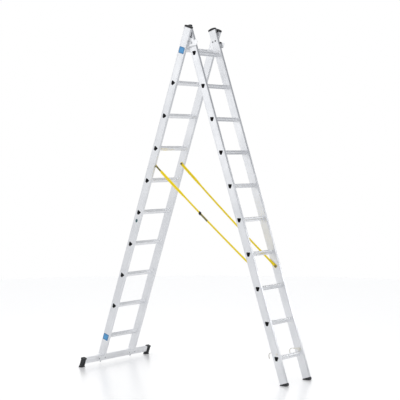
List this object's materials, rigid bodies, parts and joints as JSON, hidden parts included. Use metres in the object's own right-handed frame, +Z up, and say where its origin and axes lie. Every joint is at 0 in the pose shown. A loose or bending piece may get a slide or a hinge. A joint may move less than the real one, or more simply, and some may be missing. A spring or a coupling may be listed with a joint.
{
  "type": "combination ladder",
  "caption": "Combination ladder standing open: a wide lower section on a stabiliser bar, a narrower sliding upper section, swivel hinge shoes, rung hooks and spread straps.",
  "frame": {"origin": "on the floor, in the middle of the footprint", "axes": "+X from the lower section's feet to the upper section's feet, +Y along the rungs from the near side to the far side, +Z up"},
  "size_m": [1.8936, 0.905, 2.828],
  "materials": {
    "stile_aluminium": "satin extrusion",
    "rung_aluminium": "ribbed extrusion",
    "bar_aluminium": "satin",
    "zinc_steel": "zinc plated",
    "plug_plastic": "moulded black",
    "foot_plastic": "moulded dark grey",
    "roller_rubber": "matt",
    "webbing": "woven yellow webbing",
    "blue_plate": "printed blank",
    "teal_plate": "printed blank"
  },
  "bodies": {
    "lower section": {"badge": "teal_plate", "bracket_rivets": "zinc_steel", "hinge_bracket_far": "zinc_steel", "hinge_bracket_near": "zinc_steel", "label_plates": "blue_plate", "lower_cap_far": "foot_plastic", "lower_cap_near": "foot_plastic", "lower_plugs": "plug_plastic", "lower_rung_01": "rung_aluminium", "lower_rung_02": "rung_aluminium", "lower_rung_03": "rung_aluminium", "lower_rung_04": "rung_aluminium", "lower_rung_05": "rung_aluminium", "lower_rung_06": "rung_aluminium", "lower_rung_07": "rung_aluminium", "lower_rung_08": "rung_aluminium", "lower_rung_09": "rung_aluminium", "lower_rung_10": "rung_aluminium", "lower_stile_far": "stile_aluminium", "lower_stile_near": "stile_aluminium", "lower_strap_anchors": "zinc_steel", "saddle_bolts": "zinc_steel", "saddle_far": "bar_aluminium", "saddle_near": "bar_aluminium", "saddle_studs": "zinc_steel", "stabiliser_bar": "bar_aluminium", "stabiliser_foot_far": "foot_plastic", "stabiliser_foot_near": "foot_plastic", "stop_rollers": "roller_rubber", "strap_buckle": "plug_plastic", "strap_far": "webbing", "strap_near": "webbing", "strap_tail": "webbing"},
    "hinge shoes": {"pivot_bolts": "zinc_steel", "swivel_shoe_far": "zinc_steel", "swivel_shoe_near": "zinc_steel"},
    "upper section": {"hook_bolts": "zinc_steel", "stop_bolts": "zinc_steel", "upper_cap_far": "foot_plastic", "upper_cap_near": "foot_plastic", "upper_foot_far": "foot_plastic", "upper_foot_near": "foot_plastic", "upper_plugs": "plug_plastic", "upper_rung_01": "rung_aluminium", "upper_rung_02": "rung_aluminium", "upper_rung_03": "rung_aluminium", "upper_rung_04": "rung_aluminium", "upper_rung_05": "rung_aluminium", "upper_rung_06": "rung_aluminium", "upper_rung_07": "rung_aluminium", "upper_rung_08": "rung_aluminium", "upper_rung_09": "rung_aluminium", "upper_rung_10": "rung_aluminium", "upper_stile_far": "stile_aluminium", "upper_stile_near": "stile_aluminium", "upper_strap_anchors": "zinc_steel"},
    "hook near": {"rung_hook_near": "zinc_steel"},
    "hook far": {"rung_hook_far": "zinc_steel"}
  },
  "joints": [
    {"name": "fold", "type": "hinge", "parent": "lower section", "child": "hinge shoes", "pos_m": [0.03095, 0, 2.67975], "axis": [0, 1, 0], "range_deg": [0, 36.94], "deforming": ["strap_near", "strap_far", "strap_tail", "strap_buckle"]},
    {"name": "extension", "type": "slide", "parent": "hinge shoes", "child": "upper section", "axis": [-0.3135, 0, 0.9496], "range_m": [0, 1.949], "deforming": ["strap_near", "strap_far", "strap_tail", "strap_buckle"]},
    {"name": "hook turn near", "type": "hinge", "parent": "upper section", "child": "hook near", "pos_m": [0.84896, -0.1512, 0.24021], "axis": [0, 1, 0], "range_deg": [0, 75]},
    {"name": "hook turn far", "type": "hinge", "parent": "upper section", "child": "hook far", "pos_m": [0.84896, 0.1512, 0.24021], "axis": [0, 1, 0], "range_deg": [0, 75]}
  ]
}
